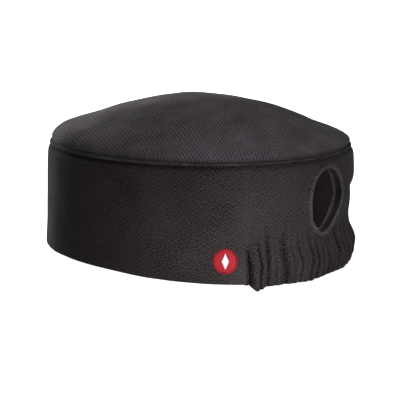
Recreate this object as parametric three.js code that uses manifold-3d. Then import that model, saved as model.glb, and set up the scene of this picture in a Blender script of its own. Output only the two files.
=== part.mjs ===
// Chef skull cap: a soft cloth pillbox cap with a domed crown, a side band, an elastic casing
// gathered across the back and a bound opening for a ponytail above it.
// Millimetres, +Z up, standing on its rim at z = 0. The back is +Y and the wearer's left is +X.

import * as THREE from 'three';
import { LoftGeometry } from 'three/addons/geometries/LoftGeometry.js';
import { mergeVertices } from 'three/addons/utils/BufferGeometryUtils.js';
import Module from 'manifold-3d';

const wasm = await Module();
wasm.setup();

// Overall form
const HALF_LENGTH = 97.5;
const HALF_WIDTH = 81.5;
const CORNER_FULLNESS = 1.5;
const FRONT_HEIGHT = 65;
const BACK_HEIGHT = 67.8;
const CROWN_RISE = 26.8;
const CROWN_SAG = 4;
const CLEARANCE = 0.3;

// Side band
const BAND_CLOTH = 2;
const SIDE_TAPER = 2.2;
const SEAM_ROLL = 1.6;
const SEAM_ROLL_HEIGHT = 6;
const RIM_LIFT = 4.6;

// Crown panel and the welt in its seam
const CROWN_CLOTH = 1.6;
const WELT_RADIUS = 1.2;
const WELT_PROUD = 0.6;

// Elastic casing across the back
const CASING_ANGLE = 39.4;
const CASING_HEIGHT = 21.5;
const CASING_CLOTH = 2.6;
const CASING_PUFF = 1;
const CASING_TUCK = 2.5;
const TUCK_FADE = 0.75;
const TIP_FLARE = 4;
const FOLD_DEPTH = 2;
const RIPPLE_DEPTH = 0.9;
const RIPPLE_ANGLE = 3.9;
const RIPPLE_FADE = 0.94;
const PUCKER_REACH = 9;
const WAIST_DEPTH = 3.2;
const WAIST_HEIGHT = 36;
const WAIST_DROP = 9;
const WAIST_SPREAD = 9;
const WAIST_LEAN = 0.7;

// Ponytail opening and its turned binding
const OPENING_ANGLE = 3.5;
const OPENING_WIDTH = 28.5;
const OPENING_TILT = 5.5;
const CORNER_TURN = 166;
const CORNER_SPREAD = 15;
const CORNER_PULL = 1.4;
const OVER_OPENING = 0.8;
const BINDING_WIDTH = 3.7;
const BINDING_PROUD = 0.5;
const FACING_CLOTH = 1.5;
const FACING_DEPTH = 6;

// Round patch on the left of the band
const PATCH_ANGLE = 47.2;
const PATCH_HEIGHT = 16.4;
const PATCH_RADIUS = 6.7;
const PATCH_THICKNESS = 1.2;
const PATCH_EDGE_DROP = 0.5;
const PATCH_EDGE_POWER = 4;

// How finely the cloth is divided
const CASING_STEPS = 96;
const CROWN_STEPS = 64;
const OPENING_STEPS = 40;
const WELT_SIDES = 7;
const PATCH_STEPS = 11;
const PATCH_TRIM = 0.2;
const CUT_MARGIN = 12;

// Stretches of the band's ring, in degrees from the back centre: close together over the gathers,
// wider under the patch and widest round the front.
const GATHERS_END = CASING_ANGLE + 6;
const PATCH_END = PATCH_ANGLE + 9;
const RING_STRETCHES = [
  { from: -GATHERS_END, to: GATHERS_END, steps: 92 },
  { from: GATHERS_END, to: PATCH_END, steps: 8 },
  { from: PATCH_END, to: 360 - PATCH_END, steps: 42 },
  { from: 360 - PATCH_END, to: 360 - GATHERS_END, steps: 3 },
];

// Height of the rim above the floor, from the back centre at 0 round to the front at 180 degrees.
// lift is a share of RIM_LIFT.
const RIM_LINE = [
  { at: 0, lift: 0.25 },
  { at: 0.16 * CASING_ANGLE, lift: 0.17 },
  { at: 0.32 * CASING_ANGLE, lift: 0 },
  { at: 0.46 * CASING_ANGLE, lift: 0.14 },
  { at: 0.76 * CASING_ANGLE, lift: 0.16 },
  { at: 0.93 * CASING_ANGLE, lift: 0 },
  { at: CASING_ANGLE, lift: 0.6 },
  { at: 1.05 * CASING_ANGLE, lift: 0.72 },
  { at: 72, lift: 0.88 },
  { at: 90, lift: 1 },
  { at: 108, lift: 0.98 },
  { at: 128, lift: 0.8 },
  { at: 165, lift: 0 },
  { at: 180, lift: 0 },
];

// Crown panel from its seam to the middle. reach is a share of the seam's outline, rise a share
// of CROWN_RISE, and sag a share of CROWN_SAG, by which the panel sinks towards the back.
const CROWN_PROFILE = [
  { reach: 1, rise: 0, sag: 0 },
  { reach: 0.99, rise: 0.12, sag: 0.3 },
  { reach: 0.955, rise: 0.24, sag: 0.7 },
  { reach: 0.9, rise: 0.335, sag: 1 },
  { reach: 0.81, rise: 0.44, sag: 0.95 },
  { reach: 0.7, rise: 0.555, sag: 0.5 },
  { reach: 0.57, rise: 0.69, sag: 0.15 },
  { reach: 0.42, rise: 0.82, sag: 0 },
  { reach: 0.26, rise: 0.928, sag: 0 },
  { reach: 0.1, rise: 0.985, sag: 0 },
];

// Corners of the casing that turn outwards. at and width are shares of CASING_ANGLE, flare a
// share of TIP_FLARE.
const TIPS = [
  { at: 0.93, width: 0.08, flare: 1 },
  { at: -0.93, width: 0.08, flare: 0.2 },
];

// Main creases of the casing. at and width are shares of CASING_ANGLE, depth a share of FOLD_DEPTH.
const MAIN_FOLDS = [
  { at: 0.99, width: 0.035, depth: 1 },
  { at: 0.865, width: 0.025, depth: 0.45 },
  { at: 0.795, width: 0.03, depth: 0.8 },
  { at: 0.63, width: 0.035, depth: 0.55 },
  { at: -0.6, width: 0.035, depth: 0.6 },
  { at: -0.78, width: 0.03, depth: 0.7 },
  { at: -0.87, width: 0.025, depth: 0.5 },
  { at: -0.99, width: 0.035, depth: 1 },
];

// Heights at which the band's wall is divided: hem shares run from the rim to the casing's top,
// wall shares from there to the crown seam.
const HEM_LEVELS = [0, 0.28, 0.52, 0.76, 1];
const WALL_LEVELS = [0.1, 0.22, 0.38, 0.6, 0.86, 0.94, 1];
const LINING_LEVELS = [1, 0.86, 0.5, 0.2];
const CASING_LEVELS = [0, 0.14, 0.36, 0.64, 0.86, 1];

// Where each slice of the patch is divided, as shares of its half height.
const PATCH_LEVELS = [-1, -0.6, -0.2, 0.2, 0.6, 1];

const { clamp, degToRad, lerp, radToDeg, smoothstep } = THREE.MathUtils;

// Value of one column of a table at a place between its rows, with an easy turn at each row.
function readTable(rows, key, value, place) {
  const next = rows.findIndex((row) => row[key] >= place);
  if (next <= 0) return rows[0][value];
  const before = rows[next - 1];
  const after = rows[next];
  return lerp(before[value], after[value], smoothstep(place, before[key], after[key]));
}

// Angles are in degrees from the back centre towards the wearer's left.
function fromBack(angle) {
  return Math.abs(((angle + 540) % 360) - 180);
}

function rimHeight(angle) {
  return RIM_LIFT * readTable(RIM_LINE, 'at', 'lift', fromBack(angle));
}

function seamHeight(angle) {
  const backShare = (1 + Math.cos(degToRad(angle))) / 2;
  return lerp(FRONT_HEIGHT, BACK_HEIGHT, backShare);
}

// 1 over the casing and its shoulders, easing to 0 round the sides.
function gatheredShare(angle) {
  return 1 - smoothstep(fromBack(angle), CASING_ANGLE, CASING_ANGLE + WAIST_SPREAD);
}

// Sum of a table's rows at one angle, each a soft ridge at its place along the casing.
function sumRidges(rows, value, angle) {
  return rows.reduce((sum, row) => {
    const away = (angle / CASING_ANGLE - row.at) / row.width;
    return sum + row[value] * Math.exp(-away * away);
  }, 0);
}

// Depth of the gathers at one angle, before they fade up the band.
function gatherDepth(angle) {
  const turn = (2 * Math.PI * angle) / RIPPLE_ANGLE;
  const ripple = (RIPPLE_DEPTH * (1 - Math.cos(turn))) / 2;
  const inside = 1 - smoothstep(fromBack(angle), RIPPLE_FADE * CASING_ANGLE, CASING_ANGLE);
  return ripple * inside + FOLD_DEPTH * sumRidges(MAIN_FOLDS, 'depth', angle);
}

// How far the cloth's outer face lies inside the rim's outline. Dents are positive, swells negative.
function clothInset(angle, height) {
  const top = seamHeight(angle);
  const taper = (SIDE_TAPER * height) / top;
  const rolled = clamp(1 - (top - height) / SEAM_ROLL_HEIGHT, 0, 1);
  const overCasing = height - CASING_HEIGHT;
  const waistShare = clamp((overCasing + WAIST_DROP) / WAIST_HEIGHT, 0, 1);
  const waist = WAIST_DEPTH * Math.sin(Math.PI * waistShare ** WAIST_LEAN) ** 2;
  const casingShare = clamp(height / CASING_HEIGHT, 0, 1);
  const puff = CASING_PUFF * Math.sin(Math.PI * casingShare);
  const fade = overCasing > 0 ? Math.exp(-((overCasing / PUCKER_REACH) ** 2)) : 1;
  const inside = 1 - smoothstep(fromBack(angle), TUCK_FADE * CASING_ANGLE, CASING_ANGLE);
  const lift = TIP_FLARE * sumRidges(TIPS, 'flare', angle) - CASING_TUCK * inside;
  const gathered = (waist - puff) * gatheredShare(angle) + gatherDepth(angle) * fade;
  return taper + SEAM_ROLL * rolled ** 2 + gathered - lift * (1 - casingShare) ** 2;
}

// A point at an angle and height, so far inside the rim's outline.
function place(angle, height, inset) {
  const turn = degToRad(angle);
  const fullness = CORNER_FULLNESS * Math.sin(2 * turn) ** 2;
  const x = (HALF_WIDTH + fullness - inset) * Math.sin(turn);
  const y = (HALF_LENGTH + fullness - inset) * Math.cos(turn);
  return new THREE.Vector3(x, y, height);
}

// A point on the cloth's outer face, or so far in front of it.
function onCloth(angle, height, proud = 0) {
  return place(angle, height, clothInset(angle, height) - proud);
}

// Degrees that a length along the rim takes at one angle.
function degreesAlong(angle, length) {
  const turn = degToRad(angle);
  const perRadian = Math.hypot(HALF_WIDTH * Math.cos(turn), HALF_LENGTH * Math.sin(turn));
  return radToDeg(length / perRadian);
}

function ringAngles() {
  return RING_STRETCHES.flatMap(({ from, to, steps }) => (
    Array.from({ length: steps }, (_, i) => lerp(from, to, i / steps))
  ));
}

function evenAngles(steps) {
  return Array.from({ length: steps }, (_, i) => (360 * i) / steps - 180);
}

// A loft keeps only its places, with shared corners merged, so that it is one closed body.
function closedLoft(sections, options) {
  const loft = new LoftGeometry(sections, options);
  const surface = new THREE.BufferGeometry();
  surface.setAttribute('position', loft.getAttribute('position'));
  surface.setIndex(loft.getIndex());
  return mergeVertices(surface, 1e-4);
}

// A loft whose last section meets its first.
function loopLoft(sections) {
  return closedLoft([...sections, sections[0]], { closed: true });
}

function cappedLoft(sections) {
  return closedLoft(sections, { closed: true, capStart: true, capEnd: true });
}

function toSolid(geometry) {
  const vertProperties = new Float32Array(geometry.getAttribute('position').array);
  const triVerts = new Uint32Array(geometry.getIndex().array);
  return new wasm.Manifold(new wasm.Mesh({ numProp: 3, vertProperties, triVerts }));
}

function toGeometry(solid) {
  const mesh = solid.getMesh();
  const geometry = new THREE.BufferGeometry();
  geometry.setAttribute('position', new THREE.BufferAttribute(mesh.vertProperties, 3));
  geometry.setIndex(new THREE.BufferAttribute(mesh.triVerts, 1));
  return geometry;
}

// Side band: one wall all the way round, cut away for the casing and for the bound opening.
function bandSection(angle) {
  const rim = rimHeight(angle);
  const top = seamHeight(angle) - WELT_RADIUS - CLEARANCE;
  const hem = HEM_LEVELS.map((share) => lerp(rim, CASING_HEIGHT, share));
  const wall = WALL_LEVELS.map((share) => lerp(CASING_HEIGHT, top, share));
  const lining = LINING_LEVELS.map((share) => lerp(CASING_HEIGHT, top, share));
  const outside = [...hem, ...wall].map((height) => onCloth(angle, height));
  const inside = [...lining, CASING_HEIGHT, rim].map((height) => onCloth(angle, height, -BAND_CLOTH));
  return [...outside, ...inside];
}

function casingSpace() {
  const reach = CASING_ANGLE + degreesAlong(CASING_ANGLE, CLEARANCE);
  const sections = [];
  for (let i = 0; i <= CASING_STEPS; i += 1) {
    const angle = lerp(-reach, reach, i / CASING_STEPS);
    const top = CASING_HEIGHT + CLEARANCE;
    sections.push([
      place(angle, -CUT_MARGIN, -CUT_MARGIN),
      place(angle, top, -CUT_MARGIN),
      place(angle, top, CUT_MARGIN),
      place(angle, -CUT_MARGIN, CUT_MARGIN),
    ]);
  }
  return cappedLoft(sections);
}

// Height of the opening: with its binding it fills the band from the casing to just under the seam.
function openingHeight() {
  const top = seamHeight(OPENING_ANGLE) - WELT_RADIUS - OVER_OPENING - 2 * CLEARANCE;
  return top - CASING_HEIGHT - CLEARANCE - 2 * BINDING_WIDTH - CORNER_PULL;
}

// Outline of the opening about its middle, grown by a distance: an oval, tilted a little, with one
// lower corner that the gathers pull to a point.
function openingOutline(turn, grow) {
  const away = (radToDeg(turn) - CORNER_TURN) / CORNER_SPREAD;
  const across = (OPENING_WIDTH / 2 + grow) * Math.sin(turn);
  const up = (openingHeight() / 2 + grow) * Math.cos(turn);
  const point = new THREE.Vector2(across, up);
  point.setLength(point.length() + CORNER_PULL * Math.exp(-away * away));
  return point.rotateAround(new THREE.Vector2(), -degToRad(OPENING_TILT));
}

const openingTurns = Array.from({ length: OPENING_STEPS }, (_, i) => (2 * Math.PI * i) / OPENING_STEPS);

// The binding's foot stands on the casing, which sets the height of the opening's middle.
function openingMiddle() {
  const foot = Math.min(...openingTurns.map((turn) => openingOutline(turn, BINDING_WIDTH).y));
  return CASING_HEIGHT + CLEARANCE - foot;
}

function openingLoop(grow, proud) {
  const middle = openingMiddle();
  return openingTurns.map((turn) => {
    const point = openingOutline(turn, grow);
    const angle = OPENING_ANGLE + radToDeg(Math.asin(point.x / HALF_WIDTH));
    return onCloth(angle, middle + point.y, proud);
  });
}

function openingSpace() {
  const grow = BINDING_WIDTH + CLEARANCE;
  return cappedLoft([openingLoop(grow, -CUT_MARGIN), openingLoop(grow, CUT_MARGIN)]);
}

function sideBand() {
  const wall = toSolid(loopLoft(ringAngles().map(bandSection)));
  const cut = wall.subtract(toSolid(casingSpace())).subtract(toSolid(openingSpace()));
  return toGeometry(cut);
}

// Elastic casing: the gathered strip that closes the band's lower edge across the back.
function elasticCasing() {
  const sections = [];
  for (let i = 0; i <= CASING_STEPS; i += 1) {
    const angle = lerp(-CASING_ANGLE, CASING_ANGLE, i / CASING_STEPS);
    const heights = CASING_LEVELS.map((share) => lerp(rimHeight(angle), CASING_HEIGHT, share));
    const outside = heights.map((height) => onCloth(angle, height));
    const inside = heights.map((height) => onCloth(angle, height, -CASING_CLOTH)).reverse();
    sections.push([...outside, ...inside]);
  }
  return cappedLoft(sections);
}

// Binding: the turned hem round the opening, with a facing folded into the cap.
function openingBinding() {
  const behind = -BAND_CLOTH - BINDING_PROUD;
  const section = [
    { grow: 0, proud: BINDING_PROUD },
    { grow: BINDING_WIDTH, proud: BINDING_PROUD },
    { grow: BINDING_WIDTH, proud: behind },
    { grow: FACING_CLOTH, proud: behind },
    { grow: FACING_CLOTH, proud: -FACING_DEPTH },
    { grow: 0, proud: -FACING_DEPTH },
  ];
  const loops = section.map(({ grow, proud }) => openingLoop(grow, proud));
  const sections = loops[0].map((_, i) => loops.map((loop) => loop[i]));
  return loopLoft(sections);
}

// Crown panel: an oval dome of one cloth, from its seam over the welt to the middle.
function crownProfile(angle, depth) {
  const seam = seamHeight(angle) + WELT_RADIUS + CLEARANCE;
  const middle = (FRONT_HEIGHT + BACK_HEIGHT) / 2 + WELT_RADIUS + CLEARANCE;
  const inset = SIDE_TAPER + SEAM_ROLL;
  const edge = place(angle, 0, inset).length();
  const back = ((1 + Math.cos(degToRad(angle))) / 2) ** 2;
  const points = CROWN_PROFILE.map(({ reach, rise, sag }) => {
    const height = lerp(middle, seam, reach) + CROWN_RISE * rise - CROWN_SAG * sag * back;
    return new THREE.Vector2(edge * reach, height);
  });
  return points.map((point, i) => {
    const before = points[Math.max(i - 1, 0)];
    const after = points[Math.min(i + 1, points.length - 1)];
    const along = after.clone().sub(before).normalize();
    const inward = i === 0 ? new THREE.Vector2(-1, 0) : new THREE.Vector2(-along.y, along.x);
    return point.clone().addScaledVector(inward, depth);
  });
}

function crownRings(depth) {
  const angles = evenAngles(CROWN_STEPS).reverse();
  const profiles = angles.map((angle) => crownProfile(angle, depth));
  return CROWN_PROFILE.map((_, row) => angles.map((angle, i) => {
    const heading = place(angle, 0, 0).normalize();
    const point = profiles[i][row];
    return heading.multiplyScalar(point.x).setZ(point.y);
  }));
}

function crownPanel() {
  const inside = crownRings(CROWN_CLOTH);
  const below = inside[0].map((point) => point.clone().setZ(point.z - CUT_MARGIN));
  const dome = toSolid(cappedLoft(crownRings(0)));
  const hollow = toSolid(cappedLoft([below, ...inside]));
  return toGeometry(dome.subtract(hollow));
}

// Welt: the round ridge in the seam between the band and the crown.
function crownWelt() {
  const sections = evenAngles(CROWN_STEPS).map((angle) => {
    const centre = SIDE_TAPER + SEAM_ROLL + WELT_RADIUS - WELT_PROUD;
    return Array.from({ length: WELT_SIDES }, (_, i) => {
      const turn = (2 * Math.PI * i) / WELT_SIDES;
      const height = seamHeight(angle) + WELT_RADIUS * Math.sin(turn);
      return place(angle, height, centre - WELT_RADIUS * Math.cos(turn));
    });
  });
  return loopLoft(sections);
}

// Patch: a plain round disc that thins towards its edge, in upright slices that follow the band.
function roundPatch() {
  const sections = [];
  for (let i = 0; i <= PATCH_STEPS; i += 1) {
    const turn = lerp(PATCH_TRIM, Math.PI - PATCH_TRIM, i / PATCH_STEPS);
    const across = -PATCH_RADIUS * Math.cos(turn);
    const half = PATCH_RADIUS * Math.sin(turn);
    const angle = PATCH_ANGLE + degreesAlong(PATCH_ANGLE, across);
    const front = PATCH_LEVELS.map((share) => {
      const edge = Math.hypot(across, half * share) / PATCH_RADIUS;
      const proud = CLEARANCE + PATCH_THICKNESS - PATCH_EDGE_DROP * edge ** PATCH_EDGE_POWER;
      return onCloth(angle, PATCH_HEIGHT + half * share, proud);
    });
    const back = PATCH_LEVELS.map((share) => onCloth(angle, PATCH_HEIGHT + half * share, CLEARANCE));
    sections.push([...front, ...back.reverse()]);
  }
  return cappedLoft(sections);
}

const charcoal = { roughness: 0.92, metalness: 0 };
const pieces = [
  { name: 'crown_panel', make: crownPanel, look: { color: 0x37353a, ...charcoal } },
  { name: 'crown_welt', make: crownWelt, look: { color: 0x2c2a2d, ...charcoal } },
  { name: 'side_band', make: sideBand, look: { color: 0x2b2829, ...charcoal } },
  { name: 'opening_binding', make: openingBinding, look: { color: 0x343132, ...charcoal } },
  { name: 'elastic_casing', make: elasticCasing, look: { color: 0x302c2d, ...charcoal } },
  { name: 'round_patch', make: roundPatch, look: { color: 0xc4283a, roughness: 0.7, metalness: 0 } },
];

const skullCap = new THREE.Group();
for (const { name, make, look } of pieces) {
  const mesh = new THREE.Mesh(make(), new THREE.MeshStandardMaterial(look));
  mesh.name = name;
  skullCap.add(mesh);
}

export default skullCap;
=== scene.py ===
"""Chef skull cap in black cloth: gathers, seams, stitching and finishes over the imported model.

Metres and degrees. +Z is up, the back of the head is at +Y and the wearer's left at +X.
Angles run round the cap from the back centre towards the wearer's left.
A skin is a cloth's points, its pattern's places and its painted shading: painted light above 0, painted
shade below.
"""

import logging
import math
from collections.abc import Callable, Sequence
from dataclasses import dataclass, field
from enum import Enum
from typing import ClassVar

import bpy
import numpy as np
from mathutils import Matrix, Vector


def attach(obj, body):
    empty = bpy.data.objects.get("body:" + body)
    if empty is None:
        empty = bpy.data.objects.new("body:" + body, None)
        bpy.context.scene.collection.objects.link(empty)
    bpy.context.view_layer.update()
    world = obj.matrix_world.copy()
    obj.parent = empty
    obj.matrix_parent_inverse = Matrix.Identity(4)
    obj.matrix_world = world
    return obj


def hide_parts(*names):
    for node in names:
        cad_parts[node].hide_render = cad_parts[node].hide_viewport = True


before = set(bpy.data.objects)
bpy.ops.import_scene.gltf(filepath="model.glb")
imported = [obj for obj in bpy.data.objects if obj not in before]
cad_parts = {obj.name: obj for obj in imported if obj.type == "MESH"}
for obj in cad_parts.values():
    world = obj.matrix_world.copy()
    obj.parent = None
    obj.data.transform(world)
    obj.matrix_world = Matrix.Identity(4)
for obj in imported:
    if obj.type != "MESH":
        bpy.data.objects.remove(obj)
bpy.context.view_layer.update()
BODY = "root"
LOG = logging.getLogger("skull_cap")

Array = np.ndarray
Skin = tuple[Array, Array, Array]
Shape = Callable[[Array, Array], Skin]
Colour = tuple[float, float, float]
Socket = bpy.types.NodeSocket
Material = bpy.types.Material
Object = bpy.types.Object

HALF_TURN = 180.0
FULL_TURN = 360.0
MERGE_GAP = 1e-6
TINY = 1e-9
NOISE_SPREAD = (0.6, 1.6)
WAVE_REPEAT = math.pi / 10.0  # from line to line in a Wave texture of scale 1
SHADE_ATTRIBUTE = "worn"
MOTIF = "motif"
CAP_MIDDLE = (0.0, 0.0, 0.0485)


class Slot(Enum):
    """The material slots."""

    CROWN = "crown_cloth"
    WELT = "welt_cloth"
    BAND = "band_cloth"
    BINDING = "binding_cloth"
    CASING = "casing_cloth"
    PATCH = "patch_thread"


class Zone(Enum):
    """Where a row of a wall's section lies: on its flat, round its foot or round its head."""

    WALL = 0
    FOOT = 1
    HEAD = 2


class Blend(Enum):
    """What a Mix node blends, with the numbers of its two inputs and of its result."""

    FLOAT = (2, 3, 0)
    RGBA = (6, 7, 2)


class LampKind(Enum):
    """The studio's kinds of light."""

    SUN = "SUN"
    AREA = "AREA"
    SPOT = "SPOT"
    POINT = "POINT"


@dataclass(frozen=True)
class Fold:
    """One crease of the gathers, as an angle, a width and a depth, and the height where it fades."""

    angle: float
    width: float
    depth: float
    top: float


@dataclass(frozen=True)
class Drape:
    """One soft dent across the band, from a start to an end, each an angle and a height."""

    start: tuple[float, float]
    end: tuple[float, float]
    width: float
    depth: float


@dataclass(frozen=True)
class Dents:
    """Gentle unevenness of one depth and usual size, with the seed of its directions."""

    depth: float
    size: float
    seed: int


def ease(value: Array, low: Array | float, high: Array | float) -> Array:
    """Returns 0 below low, 1 above high and a smooth step between."""
    share = np.clip((value - low) / (high - low), 0.0, 1.0)
    return share * share * (3.0 - 2.0 * share)


def bell(value: Array, middle: float, width: float) -> Array:
    """Returns 1 at a middle, falling away softly over a width on both sides."""
    return np.exp(-(((value - middle) / width) ** 2))


def puckers(turn: Array, count: float, bend: float, bends: float) -> Array:
    """Returns small waves round a seam, a count of them, drawn together and apart a few times."""
    return np.sin(turn * count + bend * np.sin(turn * bends))


def run_along(points: Array) -> Array:
    """Returns the length along a line from its first point to each point."""
    return np.concatenate(([0.0], np.cumsum(np.linalg.norm(np.diff(points, axis=0), axis=1))))


def ring_turn(column: Array, columns: int) -> Array:
    """Returns the turn of each column of a closed ring, in radians."""
    return 2.0 * np.pi * (column % columns) / columns


def scaled(colour: Colour, share: float) -> Colour:
    """Returns a colour made darker or lighter."""
    return tuple(share * part for part in colour)


def read_rows(rows: Sequence[tuple[float, float]], at: Array) -> Array:
    """Reads a two-column table with an easy turn at each row.

    Args:
        rows: Pairs of a place and its value, by rising place.
        at: The places to read.

    Returns:
        The value at each place.
    """
    places, values = np.array(rows).T
    after = np.clip(np.searchsorted(places, at), 1, len(rows) - 1)
    share = ease(at, places[after - 1], places[after])
    return values[after - 1] + (values[after] - values[after - 1]) * share


def smooth_rows(rows: Array, at: Array) -> Array:
    """Reads a table along a smooth curve through its rows.

    Args:
        rows: The table, one row for each whole number.
        at: Places between the rows, as fractions of row numbers.

    Returns:
        One row of values for each place.
    """
    last = len(rows) - 1
    before = np.clip(np.floor(at).astype(int), 0, last - 1)
    share = (at - before)[:, None]
    p0 = rows[np.clip(before - 1, 0, last)]
    p1 = rows[before]
    p2 = rows[before + 1]
    p3 = rows[np.clip(before + 2, 0, last)]
    slope_in = (p2 - p0) / 2.0
    slope_out = (p3 - p1) / 2.0
    square = share * share
    cube = square * share
    return (
        (2.0 * cube - 3.0 * square + 1.0) * p1
        + (cube - 2.0 * square + share) * slope_in
        + (3.0 * square - 2.0 * cube) * p2
        + (cube - square) * slope_out
    )


def soft_noise(points: Array, size: float, seed: int, waves: int = 14) -> Array:
    """Gentle unevenness made of a few long waves in seeded directions.

    Args:
        points: Places in space, one row each.
        size: The usual length of a wave.
        seed: The seed of the directions.
        waves: How many waves are added up.

    Returns:
        A value from about -1 to 1 at each point.
    """
    draw = np.random.default_rng(seed)
    heading = draw.normal(size=(waves, 3))
    heading /= np.linalg.norm(heading, axis=1)[:, None]
    length = size * draw.uniform(*NOISE_SPREAD, waves)
    start = draw.uniform(0.0, 2.0 * math.pi, waves)
    phase = points @ (heading / length[:, None]).T * 2.0 * math.pi + start
    return np.sin(phase).sum(axis=1) / math.sqrt(waves)


def uneven(dents: Sequence[Dents], points: Array) -> Array:
    """Returns how far a cloth swells or dips at points in space."""
    return sum(dent.depth * soft_noise(points, dent.size, dent.seed) for dent in dents)


@dataclass(frozen=True)
class CapForm:
    """The cap's own sizes, and where its cloth lies at any angle and height."""

    half_length: float = 0.0975
    half_width: float = 0.0815
    corner_fullness: float = 0.0015
    front_height: float = 0.065
    back_height: float = 0.0678
    crown_rise: float = 0.0268
    crown_sag: float = 0.004
    side_taper: float = 0.0022
    seam_roll: float = 0.0016
    seam_roll_height: float = 0.006
    seam_groove: float = 0.0005
    groove_drop: float = 0.0016
    groove_width: float = 0.0010
    rim_lift: float = 0.0046
    rim_steps: int = 1441
    welt_radius: float = 0.0012
    clearance: float = 0.0003
    band_cloth: float = 0.002
    crown_cloth: float = 0.0016
    casing_angle: float = 39.4
    casing_height: float = 0.0215
    casing_cloth: float = 0.0026
    casing_puff: float = 0.001
    casing_tuck: float = 0.0025
    tuck_start: float = 0.75
    tip_flare: float = 0.004
    tip_width: float = 0.08
    tips: tuple[tuple[float, float], ...] = ((0.93, 1.0), (-0.93, 0.2))
    ripple_depth: float = 0.0005
    ripple_angle: float = 3.9
    ripple_crest: float = 1.7
    ripple_change: float = 0.3
    ripple_end: float = 0.94
    fine_depth: float = 0.00016
    fine_angle: float = 1.55
    fine_follow: float = 0.6
    lean_fade: float = 4.0
    lean_waves: tuple[tuple[float, float, float], ...] = ((0.30, 190.0, 0.31), (0.15, 410.0, -0.83))
    wander_waves: tuple[tuple[float, float, float], ...] = ((0.85, 0.41, 0.6), (0.45, 1.07, 2.1))
    change_waves: tuple[tuple[float, float], ...] = ((0.33, 0.9), (0.71, 0.0))
    pucker_reach: float = 0.009
    fold_fade: tuple[float, float] = (0.012, 0.006)
    fold_roundness: float = 1.4
    waist_depth: float = 0.0032
    waist_height: float = 0.036
    waist_drop: float = 0.009
    waist_spread: float = 9.0
    waist_lean: float = 0.7
    dents: tuple[Dents, ...] = (Dents(0.00035, 0.06, 3), Dents(0.00014, 0.022, 4))
    steady_height: float = 0.012
    # Painted light over the gathers, painted shade in their creases and painted shadow under the seam.
    fold_light: float = 0.18
    crease_shade: float = 0.62
    crease_depth: float = 0.0016
    crease_most: float = 1.2
    seam_shade: float = 0.35
    seam_shade_drop: float = 0.0018
    seam_shade_width: float = 0.0011
    rim_line: tuple[tuple[float, float], ...] = (
        (0.0, 0.25),
        (6.3, 0.17),
        (12.6, 0.0),
        (18.1, 0.14),
        (29.9, 0.16),
        (36.6, 0.0),
        (39.4, 0.6),
        (41.4, 0.72),
        (72.0, 0.88),
        (90.0, 1.0),
        (108.0, 0.98),
        (128.0, 0.8),
        (165.0, 0.0),
        (180.0, 0.0),
    )
    folds: tuple[Fold, ...] = (
        Fold(38.9, 0.72, 0.0032, 0.021),
        Fold(34.9, 0.60, 0.0018, 0.026),
        Fold(31.7, 0.75, 0.0014, 0.031),
        Fold(28.6, 0.45, 0.0005, 0.024),
        Fold(24.8, 1.35, 0.0015, 0.030),
        Fold(21.8, 0.45, 0.0005, 0.022),
        Fold(18.6, 0.60, 0.0012, 0.030),
        Fold(15.6, 0.40, 0.0004, 0.022),
        Fold(12.9, 0.75, 0.0014, 0.028),
        Fold(9.6, 0.75, 0.0013, 0.026),
        Fold(6.6, 0.50, 0.0009, 0.024),
        Fold(3.3, 0.80, 0.0013, 0.026),
        Fold(-0.4, 0.55, 0.0009, 0.024),
        Fold(-4.4, 0.90, 0.0016, 0.028),
        Fold(-8.9, 0.70, 0.0011, 0.025),
        Fold(-14.2, 0.85, 0.0016, 0.028),
        Fold(-19.5, 0.80, 0.0013, 0.026),
        Fold(-24.0, 0.95, 0.0017, 0.028),
        Fold(-27.4, 0.60, 0.0010, 0.025),
        Fold(-30.7, 0.70, 0.0014, 0.029),
        Fold(-34.3, 0.60, 0.0010, 0.026),
        Fold(-39.0, 0.62, 0.0024, 0.030),
    )
    drapes: tuple[Drape, ...] = (
        Drape((41.0, 0.023), (50.0, 0.034), 0.0035, 0.0007),
        Drape((33.0, 0.027), (41.0, 0.043), 0.0040, 0.0006),
        Drape((25.0, 0.026), (27.5, 0.040), 0.0030, 0.0005),
        Drape((15.5, 0.024), (12.5, 0.034), 0.0022, 0.0006),
        Drape((-26.0, 0.026), (-29.0, 0.042), 0.0035, 0.0006),
        Drape((-40.0, 0.024), (-50.0, 0.036), 0.0035, 0.0007),
        Drape((-16.0, 0.0445), (-52.0, 0.0445), 0.0040, 0.0018),
        Drape((-16.0, 0.0385), (-52.0, 0.0385), 0.0050, 0.0009),
    )

    def from_back(self, angle: Array) -> Array:
        """Returns how far an angle is from the back centre, from 0 to 180."""
        return np.abs((angle + HALF_TURN) % FULL_TURN - HALF_TURN)

    def rim_height(self, angle: Array) -> Array:
        """Returns the height of the rim above the floor."""
        return self.rim_lift * read_rows(self.rim_line, self.from_back(angle))

    def seam_height(self, angle: Array) -> Array:
        """Returns the height of the crown seam."""
        share = (1.0 + np.cos(np.radians(angle))) / 2.0
        return self.front_height + (self.back_height - self.front_height) * share

    def place(self, angle: Array, height: Array, inset: Array) -> Array:
        """Gives points inside the rim's outline.

        Args:
            angle: Angles round the cap.
            height: Heights above the floor.
            inset: How far inside the outline each point lies.

        Returns:
            One point for each angle.
        """
        turn = np.radians(angle)
        fullness = self.corner_fullness * np.sin(2.0 * turn) ** 2
        x = (self.half_width + fullness - inset) * np.sin(turn)
        y = (self.half_length + fullness - inset) * np.cos(turn)
        return np.stack((x, y, height + 0.0 * x), axis=-1)

    def around(self, angle: Array) -> Array:
        """Gives lengths along the rim from the back centre.

        Args:
            angle: Angles round the cap.

        Returns:
            The length to each angle.
        """
        steps = np.linspace(-HALF_TURN, HALF_TURN, self.rim_steps)
        length = run_along(self.place(steps, 0.0, 0.0))
        return np.interp(angle, steps, length - length[-1] / 2.0)

    def gathered_share(self, angle: Array) -> Array:
        """Returns 1 over the casing and its shoulders, easing to 0 round the sides."""
        end = self.casing_angle + self.waist_spread
        return 1.0 - ease(self.from_back(angle), self.casing_angle, end)

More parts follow.
